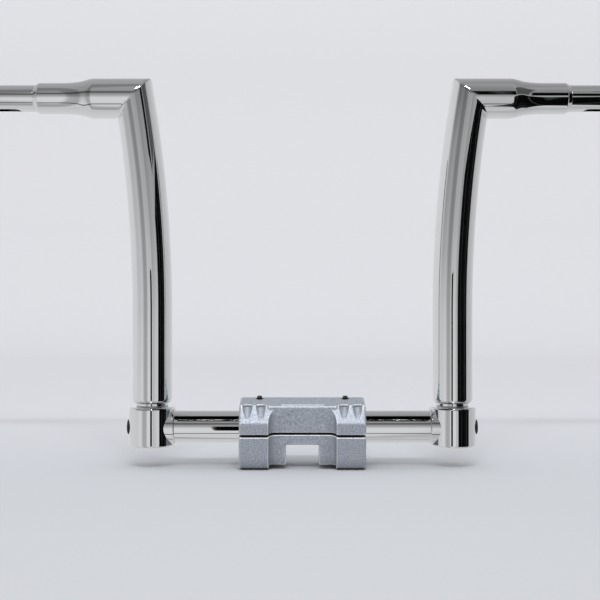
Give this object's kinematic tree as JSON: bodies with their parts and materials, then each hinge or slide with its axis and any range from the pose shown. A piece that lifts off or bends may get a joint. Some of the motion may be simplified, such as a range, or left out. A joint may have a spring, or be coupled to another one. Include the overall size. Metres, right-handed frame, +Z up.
{
  "type": "motorcycle handlebar",
  "caption": "Three-piece tall motorcycle handlebar: a clamped centre bar, swivelling end collars and bent risers with sharp mitred corners and level arms.",
  "frame": {"origin": "centre of the clamp's footprint, on the plane of its feet", "axes": "+X along the centre bar to the right, +Y away from the clamp's front, +Z up"},
  "size_m": [0.9, 0.054, 0.3715],
  "materials": {
    "cast_aluminium": "raw sand-cast, satin",
    "chrome_tube": "mirror polished plating",
    "chrome_machined": "mirror polished plating",
    "dark_fastener": "black oxide",
    "plain_steel": "turned"
  },
  "bodies": {
    "clamp": {"clamp_base": "cast_aluminium", "clamp_cap": "cast_aluminium", "clamp_screws_front": "dark_fastener", "clamp_screws_rear": "dark_fastener", "cap_set_screws": "dark_fastener"},
    "bar": {"centre_bar": "chrome_tube", "bar_end_plug_left": "plain_steel", "bar_end_plug_right": "plain_steel", "end_bolt_left": "dark_fastener", "end_bolt_right": "dark_fastener", "end_washer_left": "plain_steel", "end_washer_right": "plain_steel"},
    "collar_left": {"collar_left": "chrome_machined", "lock_screw_left": "dark_fastener"},
    "riser_left": {"thrust_washer_left": "plain_steel", "pivot_plug_left": "chrome_machined", "upright_left": "chrome_tube", "arm_left": "chrome_tube", "grip_tube_left": "chrome_tube"},
    "collar_right": {"collar_right": "chrome_machined", "lock_screw_right": "dark_fastener"},
    "riser_right": {"thrust_washer_right": "plain_steel", "pivot_plug_right": "chrome_machined", "upright_right": "chrome_tube", "arm_right": "chrome_tube", "grip_tube_right": "chrome_tube"}
  },
  "joints": [
    {"name": "bar_roll", "type": "hinge", "parent": "clamp", "child": "bar", "pos_m": [0, 0, 0.0375], "axis": [1, 0, 0], "range_deg": [-15, 15]},
    {"name": "collar_tilt_left", "type": "hinge", "parent": "bar", "child": "collar_left", "pos_m": [-0.144, 0, 0.0375], "axis": [1, 0, 0], "range_deg": [-25, 25]},
    {"name": "riser_turn_left", "type": "hinge", "parent": "collar_left", "child": "riser_left", "pos_m": [-0.144, 0, 0.0575], "axis": [0, 0, 1], "range_deg": [-30, 30]},
    {"name": "collar_tilt_right", "type": "hinge", "parent": "bar", "child": "collar_right", "pos_m": [0.144, 0, 0.0375], "axis": [1, 0, 0], "range_deg": [-25, 25]},
    {"name": "riser_turn_right", "type": "hinge", "parent": "collar_right", "child": "riser_right", "pos_m": [0.144, 0, 0.0575], "axis": [0, 0, 1], "range_deg": [-30, 30]}
  ]
}
